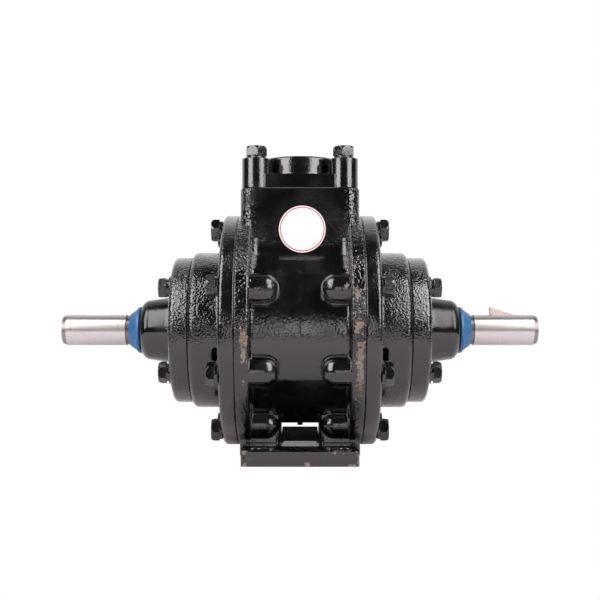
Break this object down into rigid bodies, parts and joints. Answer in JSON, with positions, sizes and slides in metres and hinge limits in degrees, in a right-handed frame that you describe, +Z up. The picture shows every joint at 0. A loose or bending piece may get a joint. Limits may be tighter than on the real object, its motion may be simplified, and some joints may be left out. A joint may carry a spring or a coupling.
{
  "type": "vane pump",
  "caption": "Cast iron sliding-vane transfer pump with a double-ended shaft, round bolted heads, a square flanged port on top and one behind, and a foot.",
  "frame": {"origin": "on the underside of the foot, at the middle of its bolt pattern, straight below the middle of the shaft", "axes": "+X along the shaft towards the end with the key, +Z up to the outlet port, -Y to the front that carries the round badge"},
  "size_m": [0.444, 0.2668, 0.2798],
  "materials": {
    "black_paint": "gloss",
    "painted_bolts": "gloss",
    "ground_steel": "polished",
    "key_steel": "satin",
    "cast_iron": "satin",
    "bronze": "satin",
    "vane_composite": "matte",
    "bearing_steel": "polished",
    "seal_carbon": "satin",
    "seal_ceramic": "satin",
    "seal_rubber": "matte",
    "gasket_sheet": "matte",
    "blue_rubber": "satin",
    "zinc_plated": "satin",
    "badge_film": "satin"
  },
  "bodies": {
    "pump_casing": {"casing": "black_paint", "liner": "cast_iron", "disc_left": "bronze", "disc_right": "bronze", "head_left": "black_paint", "head_right": "black_paint", "head_o_ring_left": "seal_rubber", "head_o_ring_right": "seal_rubber", "head_bolts_left": "painted_bolts", "head_bolts_right": "painted_bolts", "seal_seat_left": "seal_ceramic", "seal_seat_right": "seal_ceramic", "bearing_outer_left": "bearing_steel", "bearing_outer_right": "bearing_steel", "cover_gasket_left": "gasket_sheet", "cover_gasket_right": "gasket_sheet", "bearing_cover_left": "black_paint", "bearing_cover_right": "black_paint", "cover_bolts_left": "painted_bolts", "cover_bolts_right": "painted_bolts", "grease_seal_left": "seal_rubber", "grease_seal_right": "seal_rubber", "outlet_gasket": "gasket_sheet", "outlet_flange": "black_paint", "outlet_bolts": "painted_bolts", "inlet_gasket": "gasket_sheet", "inlet_flange": "black_paint", "inlet_bolts": "painted_bolts", "relief_spring": "zinc_plated", "relief_guide": "bearing_steel", "relief_gasket": "gasket_sheet", "relief_cover": "black_paint", "relief_cover_bolts": "painted_bolts", "relief_screw": "bearing_steel", "relief_locknut": "zinc_plated", "relief_cap": "black_paint", "gauge_plugs": "zinc_plated", "grease_fittings": "zinc_plated", "badge": "badge_film"},
    "rotating_group": {"shaft": "ground_steel", "rotor": "cast_iron", "rotor_key": "key_steel", "seal_ring_left": "seal_carbon", "seal_ring_right": "seal_carbon", "bearing_inner_left": "bearing_steel", "bearing_inner_right": "bearing_steel", "dirt_shield_left": "blue_rubber", "dirt_shield_right": "blue_rubber"},
    "cage_set_left": {"bearing_balls_left": "bearing_steel", "bearing_cage_left": "bronze"},
    "cage_set_right": {"bearing_balls_right": "bearing_steel", "bearing_cage_right": "bronze"},
    "key_body": {"shaft_key": "key_steel"},
    "relief_poppet": {"relief_valve": "bearing_steel"},
    "vane_1_body": {"vane_1": "vane_composite"},
    "vane_2_body": {"vane_2": "vane_composite"},
    "vane_3_body": {"vane_3": "vane_composite"},
    "vane_4_body": {"vane_4": "vane_composite"},
    "vane_5_body": {"vane_5": "vane_composite"},
    "vane_6_body": {"vane_6": "vane_composite"}
  },
  "joints": [
    {"name": "rotor_spin", "type": "hinge", "parent": "pump_casing", "child": "rotating_group", "pos_m": [0, 0, 0.1143], "axis": [1, 0, 0], "continuous": true},
    {"name": "bearing_cage_left_spin", "type": "hinge", "parent": "pump_casing", "child": "cage_set_left", "pos_m": [0, 0, 0.1143], "axis": [1, 0, 0], "continuous": true},
    {"name": "bearing_cage_right_spin", "type": "hinge", "parent": "pump_casing", "child": "cage_set_right", "pos_m": [0, 0, 0.1143], "axis": [1, 0, 0], "continuous": true},
    {"name": "vane_1_slide", "type": "slide", "parent": "rotating_group", "child": "vane_1_body", "axis": [0, 0.9659, 0.2588], "range_m": [0, 0.001]},
    {"name": "vane_2_slide", "type": "slide", "parent": "rotating_group", "child": "vane_2_body", "axis": [0, 0.2588, 0.9659], "range_m": [0, 0.001]},
    {"name": "vane_3_slide", "type": "slide", "parent": "rotating_group", "child": "vane_3_body", "axis": [0, -0.7071, 0.7071], "range_m": [0, 0.0061]},
    {"name": "vane_4_slide", "type": "slide", "parent": "rotating_group", "child": "vane_4_body", "axis": [0, 0.9659, 0.2588], "range_m": [-0.0094, 0]},
    {"name": "vane_5_slide", "type": "slide", "parent": "rotating_group", "child": "vane_5_body", "axis": [0, 0.2588, 0.9659], "range_m": [-0.0031, 0]},
    {"name": "vane_6_slide", "type": "slide", "parent": "rotating_group", "child": "vane_6_body", "axis": [0, 0.7071, -0.7071], "range_m": [0, 0.0061]},
    {"name": "shaft_key_rock", "type": "hinge", "parent": "rotating_group", "child": "key_body", "pos_m": [0.1914, 0, 0.13339], "axis": [0, 1, 0], "range_deg": [-30, 0]},
    {"name": "relief_valve_lift", "type": "slide", "parent": "pump_casing", "child": "relief_poppet", "axis": [0, 1, 0], "range_m": [0, 0.009], "stiffness_N_per_m": 9000, "springref_m": -0.012, "deforming": ["relief_spring"]}
  ],
  "couplings": [
    {"joint": "bearing_cage_left_spin", "follows": "rotor_spin", "ratio": 0.38},
    {"joint": "bearing_cage_right_spin", "follows": "rotor_spin", "ratio": 0.38}
  ]
}
